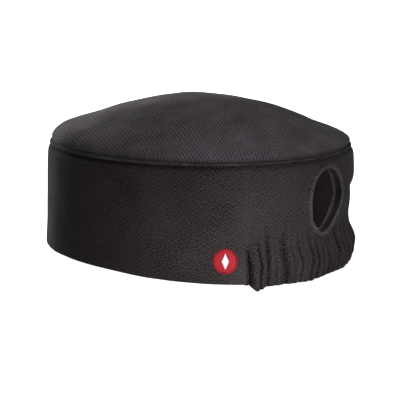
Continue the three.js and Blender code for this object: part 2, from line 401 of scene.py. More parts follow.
    def gather_depth(self, angle: Array, height: Array) -> Array:
        """Gives the depth of the gathers.

        Args:
            angle: Angles round the cap.
            height: Heights above the floor.

        Returns:
            How far the cloth dips at each place.
        """
        lean = sum(size * np.sin(up * height + along * angle) for size, up, along in self.lean_waves)
        bent = angle + lean * ease(self.casing_angle - np.abs(angle), 0.0, self.lean_fade)
        wander = sum(size * np.sin(rate * bent + start) for size, rate, start in self.wander_waves)
        turn = 2.0 * np.pi * (bent + wander) / self.ripple_angle
        change = np.prod([np.sin(rate * bent + start) for rate, start in self.change_waves], axis=0)
        strength = 1.0 - self.ripple_change * (1.0 - change)
        ripple = self.ripple_depth * strength * ((1.0 - np.cos(turn)) / 2.0) ** self.ripple_crest
        fine_turn = 2.0 * np.pi * (bent - self.fine_follow * wander) / self.fine_angle
        fine = self.fine_depth * np.sin(fine_turn) ** 2
        inside = 1.0 - ease(self.from_back(angle), self.ripple_end * self.casing_angle, self.casing_angle)
        over = np.maximum(height - self.casing_height, 0.0)
        depth = (ripple + fine) * inside * bell(over, 0.0, self.pucker_reach)
        for fold in self.folds:
            away = np.abs(bent - fold.angle) / fold.width
            rise = 1.0 - ease(height, fold.top - self.fold_fade[0], fold.top + self.fold_fade[1])
            depth = depth + fold.depth * np.exp(-(away**self.fold_roundness)) * rise
        return depth

    def painted_light_and_shade(self, angle: Array, height: Array) -> Array:
        """Gives the painted shade in the creases, the painted shadow under the seam and the painted light
        over the gathers.

        Args:
            angle: Angles round the cap.
            height: Heights above the floor.

        Returns:
            The painted shading at each place.
        """
        # Painted shade grows with each crease's depth; painted shadow lies in a line under the welt.
        dip = np.clip(self.gather_depth(angle, height) / self.crease_depth, 0.0, self.crease_most)
        below = self.seam_height(angle) - height
        shadow = self.seam_shade * bell(below, self.seam_shade_drop, self.seam_shade_width)
        return self.fold_light * self.gathered_share(angle) - self.crease_shade * dip - shadow

    def drape_depth(self, angle: Array, height: Array) -> Array:
        """Gives the depth of the soft dents above the casing.

        Args:
            angle: Angles round the cap.
            height: Heights above the floor.

        Returns:
            How far the cloth dips at each place.
        """
        flat = np.stack((self.around(angle), height), axis=-1)
        depth = np.zeros(flat.shape[:-1])
        for drape in self.drapes:
            ends = [np.array((float(self.around(turn)), rise)) for turn, rise in (drape.start, drape.end)]
            span = ends[1] - ends[0]
            along = (flat - ends[0]) @ span / (span @ span)
            nearest = ends[0] + np.clip(along, 0.0, 1.0)[..., None] * span
            depth = depth + drape.depth * bell(np.linalg.norm(flat - nearest, axis=-1), 0.0, drape.width)
        return depth

    def cloth_inset(self, angle: Array, height: Array) -> Array:
        """Gives how far the cloth's outer face lies inside the rim's outline.

        Args:
            angle: Angles round the cap.
            height: Heights above the floor.

        Returns:
            The inset at each place. Dents are positive, swells negative.
        """
        top = self.seam_height(angle)
        below = top - height
        rolled = np.clip(1.0 - below / self.seam_roll_height, 0.0, 1.0)
        waist_share = np.clip((height - self.casing_height + self.waist_drop) / self.waist_height, 0.0, 1.0)
        waist = self.waist_depth * np.sin(np.pi * waist_share**self.waist_lean) ** 2
        casing_share = np.clip(height / self.casing_height, 0.0, 1.0)
        puff = self.casing_puff * np.sin(np.pi * casing_share)
        inside = 1.0 - ease(self.from_back(angle), self.tuck_start * self.casing_angle, self.casing_angle)
        flare = sum(share * bell(angle / self.casing_angle, tip, self.tip_width) for tip, share in self.tips)
        lift = self.tip_flare * flare - self.casing_tuck * inside
        rough = uneven(self.dents, self.place(angle, height, 0.0))
        return (
            self.side_taper * height / top
            + self.seam_roll * rolled**2
            + self.seam_groove * bell(below, self.groove_drop, self.groove_width)
            + (waist - puff) * self.gathered_share(angle)
            + self.gather_depth(angle, height)
            + self.drape_depth(angle, height)
            + rough * ease(below, 0.0, self.steady_height)
            - lift * (1.0 - casing_share) ** 2
        )

    def on_cloth(self, angle: Array, height: Array, proud: Array) -> Array:
        """Returns points on the cloth's outer face, or in front of it by a distance."""
        return self.place(angle, height, self.cloth_inset(angle, height) - proud)

    def wall(self, angle: Array, height: Array, depth: Array, cloth: float) -> Skin:
        """Gives the skin of a wall of cloth.

        Args:
            angle: Angles round the cap.
            height: Heights above the floor.
            depth: How deep in the cloth each point lies, as a share of its thickness.
            cloth: The cloth's thickness.

        Returns:
            The skin. Only its outer face carries painted shading.
        """
        points = self.on_cloth(angle, height, -cloth * depth)
        pattern = np.stack((self.around(angle), height), axis=-1)
        return points, pattern, self.painted_light_and_shade(angle, height) * (depth < 0.5)


@dataclass(frozen=True)
class ClothFinish:
    """A matt woven cloth whose diagonal lines follow its own surface."""

    name: str
    deep: Colour
    pale: Colour
    line_gap: float
    line_turn: float
    line_share: float
    relief: float
    cross_gap: float = 0.0022
    cross_turn: float = -60.0
    cross_share: float = 0.0
    line_bend: float = 2.2
    roughness: float = 0.9
    roughness_swing: float = 0.12
    sheen: float = 0.015
    sheen_roughness: float = 0.45
    fleck: float = 0.0008
    fleck_detail: float = 0.65
    fleck_contrast: float = 2.6
    weave_contrast: float = 1.5
    weave_bump: float = 0.75
    mottle: float = 0.014
    cloud: float = 0.9
    detail: float = 3.0

    def make(self) -> Material:
        """Makes the material.

        Returns:
            A material that reads the piece's UV map in metres and its painted shading, which it adds to the
            cloth's shade.
        """
        kit = NodeKit(self.name)
        cloth = kit.pattern()
        main = self.lines(kit, cloth, self.line_turn, self.line_gap)
        cross = self.lines(kit, cloth, self.cross_turn, self.cross_gap)
        flecks = kit.noise(cloth, self.fleck, self.detail, self.fleck_detail)
        specks = kit.swing(flecks, self.fleck_contrast, 0.5)
        weave = kit.mix(self.line_share, specks, kit.mix(self.cross_share, main, cross))
        spread = kit.swing(weave, self.weave_contrast, 0.5)
        cloudy = kit.swing(kit.noise(kit.place(), self.mottle, self.detail), self.cloud, 0.0)
        # Adds the painted shading: painted shade in creases and seams, painted light on folds and ridges.
        shade = kit.math("ADD", kit.math("ADD", spread, cloudy), kit.read(SHADE_ATTRIBUTE))
        kit.surface(
            {
                "Base Color": kit.mix_colour(shade, self.deep, self.pale),
                "Roughness": kit.swing(flecks, self.roughness_swing, self.roughness),
                "Normal": kit.bump(weave, self.weave_bump, self.relief),
                "Sheen Weight": self.sheen,
                "Sheen Roughness": self.sheen_roughness,
                "Specular IOR Level": 0.0,
            }
        )
        return kit.material

    def lines(self, kit: "NodeKit", cloth: Socket, turn: float, gap: float) -> Socket:
        """Returns one set of slightly uneven diagonal lines, by its turn and the gap from line to line."""
        turned = kit.add("ShaderNodeMapping", Rotation=(0.0, 0.0, math.radians(turn)), Vector=cloth)
        return kit.wave(turned.outputs["Vector"], gap, self.line_bend, self.detail, self.line_bend)


@dataclass(frozen=True)
class ThreadFinish:
    """Sewing thread with a fine twist."""

    name: str
    colour: Colour
    lift: float = 1.7
    twist: float = 0.0006
    twist_bump: float = 0.6
    relief: float = 0.0001
    roughness: float = 0.8
    specular: float = 0.2

    def make(self) -> Material:
        """Makes the material.

        Returns:
            A material that reads the piece's place.
        """
        kit = NodeKit(self.name)
        twist = kit.noise(kit.place(), self.twist)
        kit.surface(
            {
                "Base Color": kit.mix_colour(twist, self.colour, scaled(self.colour, self.lift)),
                "Normal": kit.bump(twist, self.twist_bump, self.relief),
                "Roughness": self.roughness,
                "Specular IOR Level": self.specular,
            }
        )
        return kit.material


@dataclass(frozen=True)
class SatinFinish:
    """Satin stitches of embroidery thread, with a second colour where the motif attribute is 1."""

    name: str
    ground: Colour
    motif: Colour
    ground_shade: float = 0.62
    motif_shade: float = 0.8
    thread_gap: float = 0.00045
    thread_bend: float = 0.6
    thread_bump: float = 0.6
    relief: float = 0.00012
    fuzz: float = 1.0 / 900.0
    roughness: float = 0.6
    specular: float = 0.08

    def make(self) -> Material:
        """Makes the material.

        Returns:
            A material that reads the piece's UV map in metres and its motif attribute.
        """
        kit = NodeKit(self.name)
        threads = kit.wave(kit.pattern(), self.thread_gap, self.thread_bend, 1.0)
        shade = kit.mix(0.5, threads, kit.noise(kit.place(), self.fuzz))
        red = kit.mix_colour(shade, scaled(self.ground, self.ground_shade), self.ground)
        white = kit.mix_colour(shade, scaled(self.motif, self.motif_shade), self.motif)
        kit.surface(
            {
                "Base Color": kit.mix_colour(kit.read(MOTIF), red, white),
                "Normal": kit.bump(threads, self.thread_bump, self.relief),
                "Roughness": self.roughness,
                "Specular IOR Level": self.specular,
            }
        )
        return kit.material


@dataclass(frozen=True)
class StageFinish:
    """The plain pale floor with a painted glow like a light table, and a painted shadow inside an oval under
    the cap where the glow is off.
    """

    name: str
    colour: Colour
    glow: float
    # The oval of painted shadow under the cap, where the colour drops to its shade share and the glow is
    # off.
    oval: tuple[float, float] = (0.058, 0.076)
    middle: tuple[float, float] = (-0.014, -0.009)
    fade: float = 2.5
    shade: float = 0.25
    trace: float = 1.0 / 3.0
    trace_shade: float = 0.98
    roughness: float = 0.95

    def make(self) -> Material:
        """Makes the material.

        Returns:
            A matt material with a trace of unevenness and a painted glow, with a painted shadow inside an
            oval under the cap.
        """
        kit = NodeKit(self.name)
        place = kit.place()
        split = kit.add("ShaderNodeSeparateXYZ", Vector=place)
        squares = []
        for axis, half, middle in zip("XY", self.oval, self.middle):
            away = kit.math("MULTIPLY_ADD", split.outputs[axis], 1.0 / half, -middle / half)
            squares.append(kit.math("POWER", away, 2.0))
        outside = kit.math("SUBTRACT", kit.math("ADD", *squares), 1.0)
        # 0 inside the oval of painted shadow, 1 outside it.
        unshadowed = kit.math("MINIMUM", kit.math("MAXIMUM", kit.math("MULTIPLY", outside, self.fade), 0.0), 1.0)
        low = scaled(self.colour, self.trace_shade)
        colour = kit.mix_colour(kit.noise(place, self.trace), low, self.colour)
        # Painted shadow inside the oval; outside it a painted glow stands in for light on the floor.
        kit.surface(
            {
                "Base Color": kit.mix_colour(unshadowed, scaled(self.colour, self.shade), colour),
                "Roughness": self.roughness,
                "Specular IOR Level": 0.0,
                "Emission Color": (1.0, 1.0, 1.0),
                "Emission Strength": kit.math("MULTIPLY", unshadowed, self.glow),
            }
        )
        return kit.material


class NodeKit:
    """A material under making, with short ways to add and join its nodes."""

    def __init__(self, name: str) -> None:
        """Starts an empty material.

        Args:
            name: The material's name.
        """
        self.material = bpy.data.materials.new(name)
        self.material.use_nodes = True
        self.tree = self.material.node_tree
        self.tree.nodes.clear()

    def put(self, socket: Socket, value: object) -> None:
        """Joins an output to a socket, or sets its value.

        Args:
            socket: The input to fill.
            value: An output to join, a number, or a colour of three or more parts.
        """
        if isinstance(value, Socket):
            self.tree.links.new(value, socket)
        elif hasattr(value, "__len__") and len(socket.default_value) == 4:
            socket.default_value = (*value, 1.0)
        else:
            socket.default_value = value

    def add(self, kind: str, **inputs: object) -> bpy.types.Node:
        """Adds a node.

        Args:
            kind: The node's type.
            inputs: Values or outputs for its sockets, by name.

        Returns:
            The node.
        """
        node = self.tree.nodes.new(kind)
        for name, value in inputs.items():
            self.put(node.inputs[name], value)
        return node

    def place(self) -> Socket:
        """Returns the place on the piece."""
        return self.add("ShaderNodeTexCoord").outputs["Object"]

    def pattern(self) -> Socket:
        """Returns the place on the cloth's pattern, in metres."""
        return self.add("ShaderNodeUVMap").outputs["UV"]

    def read(self, name: str) -> Socket:
        """Reads one attribute of the mesh.

        Args:
            name: The attribute's name.

        Returns:
            Its value.
        """
        node = self.add("ShaderNodeAttribute")
        node.attribute_name = name
        return node.outputs["Fac"]

    def noise(self, place: Socket, size: float, detail: float = 2.0, roughness: float = 0.5) -> Socket:
        """Adds soft spots of a size and returns their value."""
        spots = {"Vector": place, "Scale": 1.0 / size, "Detail": detail, "Roughness": roughness}
        return self.add("ShaderNodeTexNoise", **spots).outputs["Fac"]

    def wave(self, place: Socket, gap: float, bend: float, detail: float, fineness: float = 1.0) -> Socket:
        """Returns lines as a value from 0 to 1, with a gap from one to the next, bent out of line."""
        bends = {"Distortion": bend, "Detail": detail, "Detail Scale": fineness}
        return self.add("ShaderNodeTexWave", Vector=place, Scale=WAVE_REPEAT / gap, **bends).outputs["Fac"]

    def bump(self, height: Socket, strength: float, distance: float) -> Socket:
        """Returns a normal that follows a height."""
        node = self.add("ShaderNodeBump", Height=height, Strength=strength, Distance=distance)
        return node.outputs["Normal"]

    def math(self, operation: str, *values: object) -> Socket:
        """Adds a Math node.

        Args:
            operation: What it does.
            values: Its numbers or joined outputs, in order.

        Returns:
            Its result.
        """
        node = self.add("ShaderNodeMath")
        node.operation = operation
        for socket, value in zip(node.inputs, values):
            self.put(socket, value)
        return node.outputs[0]

    def swing(self, value: Socket, size: float, middle: float) -> Socket:
        """Returns a value of 0 to 1 made to swing by a size about a middle."""
        return self.math("MULTIPLY_ADD", value, size, middle - size / 2.0)

    def mix(self, share: object, low: object, high: object, blend: Blend = Blend.FLOAT) -> Socket:
        """Adds a Mix node.

        Args:
            share: The share of the second value.
            low: The first value.
            high: The second value.
            blend: What is blended.

        Returns:
            Its result.
        """
        node = self.add("ShaderNodeMix")
        node.data_type = blend.name
        first, second, result = blend.value
        for number, value in zip((0, first, second), (share, low, high)):
            self.put(node.inputs[number], value)
        return node.outputs[result]

    def mix_colour(self, share: object, low: object, high: object) -> Socket:
        """Returns two colours blended by a share."""
        return self.mix(share, low, high, Blend.RGBA)

    def surface(self, settings: dict[str, object]) -> None:
        """Adds the output and the shader, with values or outputs for its sockets, by name."""
        shader = self.add("ShaderNodeBsdfPrincipled", **settings)
        self.add("ShaderNodeOutputMaterial", Surface=shader.outputs["BSDF"])


def deselect() -> None:
    """Leaves object mode with nothing selected."""
    if bpy.context.object and bpy.context.object.mode != "OBJECT":
        bpy.ops.object.mode_set(mode="OBJECT")
    bpy.ops.object.select_all(action="DESELECT")


def pick(piece: Object) -> None:
    """Selects one object alone and makes it active.

    Args:
        piece: The object.
    """
    deselect()
    piece.select_set(True)
    bpy.context.view_layer.objects.active = piece


def soft_grid(name: str, columns: int, rows: int, shape: Shape) -> Object:
    """Adds a flat grid and moves its points into a cloth's form, closed into one skin.

    Args:
        name: The piece's name.
        columns: Faces along the grid.
        rows: Faces up the grid.
        shape: Gives the places, the pattern's places and the painted shading for column and row numbers.

    Returns:
        The piece, closed, with its faces outwards, its UV map in metres and its painted shading attribute.
    """
    deselect()
    bpy.ops.mesh.primitive_grid_add(x_subdivisions=columns, y_subdivisions=rows, size=1.0)
    piece = bpy.context.object
    piece.name = name
    mesh = piece.data
    mesh.name = name
    flat = np.empty(len(mesh.vertices) * 3)
    mesh.vertices.foreach_get("co", flat)
    flat = flat.reshape(-1, 3)
    column = np.rint((flat[:, 0] + 0.5) * columns).astype(int)
    row = np.rint((flat[:, 1] + 0.5) * rows).astype(int)
    points, pattern, painted_light_and_shade = shape(column, row)
    mesh.vertices.foreach_set("co", points.ravel())
    # Stores the painted shading (painted shade in creases and seams, painted light on folds and ridges) for
    # the material to add to the colour.
    mesh.attributes.new(SHADE_ATTRIBUTE, "FLOAT", "POINT").data.foreach_set("value", painted_light_and_shade)
    corner = np.empty(len(mesh.loops), dtype=np.int32)
    mesh.loops.foreach_get("vertex_index", corner)
    mesh.uv_layers.active.data.foreach_set("uv", pattern[corner].ravel())
    bpy.ops.object.mode_set(mode="EDIT")
    bpy.ops.mesh.select_all(action="SELECT")
    bpy.ops.mesh.remove_doubles(threshold=MERGE_GAP)
    bpy.ops.mesh.select_all(action="SELECT")
    bpy.ops.mesh.fill_holes(sides=0)
    bpy.ops.mesh.select_all(action="SELECT")
    bpy.ops.mesh.normals_make_consistent(inside=False)
    bpy.ops.object.mode_set(mode="OBJECT")
    return piece


def finish_piece(
    piece: Object,
    material: Material,
    nodes: Sequence[str] = (),
    sharp: float = 50.0,
) -> Object:
    """Dresses a piece, attaches it to the body and hides the frame's nodes that it stands for.

    Args:
        piece: The finished mesh.
        material: Its finish.
        nodes: The frame's nodes that the piece stands for.
        sharp: The angle past which an edge stays sharp.

    Returns:
        The piece.
    """
    pick(piece)
    bpy.ops.object.shade_smooth_by_angle(angle=math.radians(sharp))
    piece.data.materials.clear()
    piece.data.materials.append(material)
    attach(piece, BODY)
    if nodes:
        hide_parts(*nodes)
    return piece


@dataclass
class SewnPiece:
    """A piece of the cap made of one skin, which stands for nodes of the frame."""

    form: CapForm
    name: ClassVar[str]
    slot: ClassVar[Slot]
    nodes: ClassVar[tuple[str, ...]]
    sharp: ClassVar[float] = 50.0

    def faces(self) -> tuple[int, int]:
        """Returns how many faces the piece's grid has along and up."""
        raise NotImplementedError

    def shape(self, column: Array, row: Array) -> Skin:
        """Returns the piece's skin at column and row numbers of its grid."""
        raise NotImplementedError

    def refine(self, piece: Object) -> None:
        """Works on the finished skin, where a piece needs it."""

    def build(self, material: Material) -> Object:
        """Makes the piece.

        Args:
            material: Its finish.

        Returns:
            The dressed piece.
        """
        piece = soft_grid(self.name, *self.faces(), self.shape)
        self.refine(piece)
        return finish_piece(piece, material, self.nodes, self.sharp)


EDGE_ROUND = ((0.0, 1.0), (0.07, 0.5), (0.25, 0.13), (0.5, 0.0), (0.75, 0.13), (0.93, 0.5), (1.0, 1.0))


@dataclass
class WallSection:
    """The closed outline of a cloth wall: outer face down, round the foot, inner face up, head.

    The lower share of its wall's rows lies below a middle height, where the wall has one.
    """

    outer: int
    inner: int
    lower: float = 0.0
    zones: list[Zone] = field(default_factory=list)
    shares: list[float] = field(default_factory=list)
    depths: list[float] = field(default_factory=list)

    def __post_init__(self) -> None:
        """Lists the section's rows."""
        for step in range(self.outer + 1):
            self.add_row(Zone.WALL, 1.0 - step / self.outer, 0.0)
        for depth, drop in EDGE_ROUND[1:-1]:
            self.add_row(Zone.FOOT, drop, depth)
        for step in range(self.inner + 1):
            self.add_row(Zone.WALL, step / self.inner, 1.0)
        for depth, drop in EDGE_ROUND[-2:0:-1]:
            self.add_row(Zone.HEAD, drop, depth)
        self.add_row(Zone.WALL, 1.0, 0.0)

    def add_row(self, zone: Zone, share: float, depth: float) -> None:
        """Adds one row.

        Args:
            zone: Where it lies.
            share: Its place in its zone.
            depth: Its share of the cloth's thickness.
        """
        self.zones.append(zone)
        self.shares.append(share)
        self.depths.append(depth)

    def heights(self, row: Array, low: Array, top: Array, foot: Array, head: float, middle: float) -> Array:
        """Gives the height of each row.

        Args:
            row: Row numbers.
            low: The wall's lower edge.
            top: The wall's upper edge.
            foot: How high the foot's rounding is.
            head: How high the head's rounding is.
            middle: The height that the lower rows reach up to, or 0 for none.

        Returns:
            One height for each row number.
        """
        zone = np.array([item.value for item in self.zones])[row]
        share = np.array(self.shares)[row]
        base = low + foot
        bend = np.maximum(base, middle)
        under = base + (bend - base) * share / max(self.lower, MERGE_GAP)
        over = bend + (top - head - bend) * (share - self.lower) / (1.0 - self.lower)
        wall = np.where(share < self.lower, under, over)
        choices = [zone == Zone.FOOT.value, zone == Zone.HEAD.value]
        return np.select(choices, [low + foot * share, top - head * share], wall)

    def depth(self, row: Array) -> Array:
        """Returns each row's share of the cloth's thickness."""
        return np.array(self.depths)[row]


@dataclass
class SideBand(SewnPiece):
    """The wall all the way round, with a turned hem, cut away for the casing and the opening."""

    opening: "OpeningHem"
    hem_round: float = 0.0009
    join_round: float = 0.0001
    head_round: float = 0.0005
    welt_seat: float = 0.7
    join_gap: float = 0.00003
    edge_step: float = 0.03
    edge_room: float = 0.6
    gather_steps: int = 640
    side_steps: int = 300
    gather_end: float = 50.0
    section: WallSection = field(default_factory=lambda: WallSection(outer=75, inner=15, lower=1.0 / 3.0))
    name = "band_cloth"
    slot = Slot.BAND
    nodes = ("side_band",)

    def faces(self) -> tuple[int, int]:
        """Returns how many faces the wall's grid has along and up."""
        return len(self.angles()) - 1, len(self.section.zones) - 1

    def angles(self) -> Array:
        """Gives the angles of the wall's columns, close together over the gathers.

        Returns:
            The angles, with two close pairs at the casing's ends.
        """
        edge = self.form.casing_angle
        step = 2.0 * self.gather_end / self.gather_steps
        near = np.arange(-self.gather_end, self.gather_end + step / 2.0, step)
        near = near[np.abs(np.abs(near) - edge) > self.edge_room * step]
        first = edge + self.edge_step
        second = edge + 2.0 * self.edge_step
        far = np.linspace(self.gather_end, FULL_TURN - self.gather_end, self.side_steps + 1)
        left = far[far <= HALF_TURN][1:]
        right = far[far >= HALF_TURN][:-1] - FULL_TURN
        return np.unique(np.round(np.concatenate((near, (-second, -first, first, second), left, right)), 6))

    def shape(self, column: Array, row: Array) -> Skin:
        """Gives the wall's skin.

        Args:
            column: Column numbers of the grid's points.
            row: Row numbers of the grid's points.

        Returns:
            The skin.
        """
        form = self.form
        angle = self.angles()[column]
        over_casing = np.abs(angle) < form.casing_angle + 1.5 * self.edge_step
        join = form.casing_height + self.join_gap
        low = np.where(over_casing, join, form.rim_height(angle))
        foot = np.where(over_casing, self.join_round, self.hem_round)
        top = form.seam_height(angle) - form.welt_radius * self.welt_seat
        height = self.section.heights(row, low, top, foot, self.head_round, join + self.join_round)
        return form.wall(angle, height, self.section.depth(row), form.band_cloth)

    def refine(self, piece: Object) -> None:
        """Cuts the opening out of the wall.

        Args:
            piece: The wall.
        """
        cutter = self.opening.cutter()
        pick(piece)
        bpy.ops.object.modifier_add(type="BOOLEAN")
        cut = piece.modifiers[-1]
        cut.operation = "DIFFERENCE"
        cut.object = cutter
        bpy.ops.object.modifier_apply(modifier=cut.name)
        bpy.data.objects.remove(cutter)


@dataclass
class ElasticCasing(SewnPiece):
    """The gathered strip across the lower back, joined to the band by a stitched line."""

    hem_round: float = 0.0012
    join_round: float = 0.0001
    steps: int = 640
    section: WallSection = field(default_factory=lambda: WallSection(outer=46, inner=20))
    name = "casing_cloth"
    slot = Slot.CASING
    nodes = ("elastic_casing",)

    def faces(self) -> tuple[int, int]:
        """Returns how many faces the strip's grid has along and up."""
        return self.steps, len(self.section.zones) - 1

    def shape(self, column: Array, row: Array) -> Skin:
        """Gives the strip's skin.

        Args:
            column: Column numbers of the grid's points.
            row: Row numbers of the grid's points.

        Returns:
            The skin.
        """
        form = self.form
        angle = form.casing_angle * (2.0 * column / self.steps - 1.0)
        top = np.full_like(angle, form.casing_height)
        height = self.section.heights(row, form.rim_height(angle), top, self.hem_round, self.join_round, 0.0)
        return form.wall(angle, height, self.section.depth(row), form.casing_cloth)


@dataclass
class OpeningHem(SewnPiece):
    """The turned hem round the ponytail opening, with its facing folded into the cap."""

    angle: float = 3.5
    width: float = 0.0285
    tilt: float = 5.5
    corner_turn: float = 166.0
    corner_spread: float = 15.0
    corner_pull: float = 0.0014
    over: float = 0.0008
    hem_width: float = 0.0037
    steps: int = 220
    cut_grow: float = 0.0029
    cut_reach: float = 0.012
    pucker_depth: float = 0.00006
    pucker_waves: tuple[float, float, float] = (31.0, 1.5, 3.0)
    pucker_rise: tuple[float, float] = (-0.001, 0.0005)
    # Painted shading: a painted highlight on the fold, painted shade along the stitched seam and in the
    # facing, painted light at the facing's deep edge.
    fold_light: float = 0.3
    fold_proud: float = -0.0002
    fold_grow: float = 0.0005
    seam_shade: float = 0.5
    seam_grow: float = 0.0033
    seam_width: float = 0.0006
    facing_shade: float = 0.6
    facing_light: float = 0.85
    facing_depth: tuple[float, float, float] = (0.0006, 0.0028, 0.0054)
    section: tuple[tuple[float, float], ...] = (
        (0.0040, -0.0006),
        (0.0039, 0.0000),
        (0.0036, 0.0003),
        (0.0030, 0.0003),
        (0.0020, 0.0005),
        (0.0010, 0.0006),
        (0.0003, 0.0004),
        (0.0000, -0.0003),
        (0.0000, -0.0016),
        (0.0001, -0.0036),
        (0.0003, -0.0054),
        (0.0007, -0.0059),
        (0.0012, -0.0057),
        (0.0014, -0.0046),
        (0.0016, -0.0030),
        (0.0024, -0.0026),
        (0.0036, -0.0026),
        (0.0042, -0.0022),
        (0.0042, -0.0012),
        (0.0040, -0.0006),
    )
    rows_each: int = 3
    name = "opening_hem"
    slot = Slot.BINDING
    nodes = ("opening_binding",)

    def outline(self, turn: Array, grow: Array) -> tuple[Array, Array]:
        """Gives the opening's outline about its middle: a tilted oval with one pulled corner.

        Args:
            turn: Turns round the opening, in radians from the top.
            grow: How far outside the opening each point lies.

        Returns:
            The points' distances across and up.
        """
        away = np.degrees(turn) - self.corner_turn
        across = (self.width / 2.0 + grow) * np.sin(turn)
        up = (self.height() / 2.0 + grow) * np.cos(turn)
        longer = 1.0 + self.corner_pull * bell(away, 0.0, self.corner_spread) / np.hypot(across, up)
        lean = -math.radians(self.tilt)
        return (
            (across * math.cos(lean) - up * math.sin(lean)) * longer,
            (across * math.sin(lean) + up * math.cos(lean)) * longer,
        )

    def height(self) -> float:
        """Returns the opening's height: with its hem it fills the band from casing to seam."""
        top = float(self.form.seam_height(self.angle)) - self.form.welt_radius - self.over - self.corner_pull
        return top - self.form.casing_height - 3.0 * self.form.clearance - 2.0 * self.hem_width

    def middle(self) -> float:
        """Returns the height of the opening's middle, with its hem standing on the casing."""
        turns = np.radians(np.arange(0.0, FULL_TURN, 9.0))
        return self.form.casing_height + self.form.clearance - self.outline(turns, self.hem_width)[1].min()

    def loop(self, turn: Array, grow: Array, proud: Array) -> Array:
        """Gives points round the opening.

        Args:
            turn: Turns round the opening, in radians from the top.
            grow: How far outside the opening each point lies.
            proud: How far in front of the cloth each point lies.

        Returns:
            One point for each turn.
        """
        across, up = self.outline(turn, grow)
        angle = self.angle + np.degrees(np.arcsin(across / self.form.half_width))
        return self.form.on_cloth(angle, self.middle() + up, proud)

    def cutter(self) -> Object:
        """Makes the solid that is cut out of the band, a little inside the hem's outer edge.

        Returns:
            The solid.
        """

        def shape(column: Array, row: Array) -> Skin:
            """Gives the solid's skin, from its inner end to its outer end.

            Args:
                column: Column numbers of the grid's points.
                row: Row numbers of the grid's points, 0 or 1.

            Returns:
                The skin, without a pattern or painted shading.
            """
            proud = np.where(row > 0, self.cut_reach, -self.cut_reach)
            points = self.loop(ring_turn(column, self.steps), np.full(len(row), self.cut_grow), proud)
            return points, np.zeros((len(row), 2)), np.zeros(len(row))

        return soft_grid("opening_cutter", self.steps, 1, shape)

    def faces(self) -> tuple[int, int]:
        """Returns how many faces the hem's grid has round and across."""
        return self.steps, (len(self.section) - 1) * self.rows_each

    def shape(self, column: Array, row: Array) -> Skin:
        """Gives the hem's skin.

        Args:
            column: Column numbers of the grid's points.
            row: Row numbers of the grid's points.

        Returns:
            The skin, with painted shading.
        """
        turn = ring_turn(column, self.steps)
        grow, proud = smooth_rows(np.array(self.section), row / self.rows_each).T
        pucker = self.pucker_depth * puckers(turn, *self.pucker_waves) * ease(proud, *self.pucker_rise)
        points = self.loop(turn, grow, proud + pucker)
        along = column / self.steps * math.pi * (self.width + self.height()) / 2.0
        # Painted highlight on the fold, painted shade at the seam and in the facing, painted light at the
        # facing's free edge.
        fold = self.fold_light * bell(grow, self.fold_grow, self.fold_grow) * (proud > self.fold_proud)
        seam = self.seam_shade * bell(grow, self.seam_grow, self.seam_width) * (proud > 0.0)
        start, dark, light = self.facing_depth
        facing = (self.facing_light * ease(-proud, dark, light) - self.facing_shade) * (proud < -start)
        return points, np.stack((along, grow - proud), axis=-1), fold - seam + facing


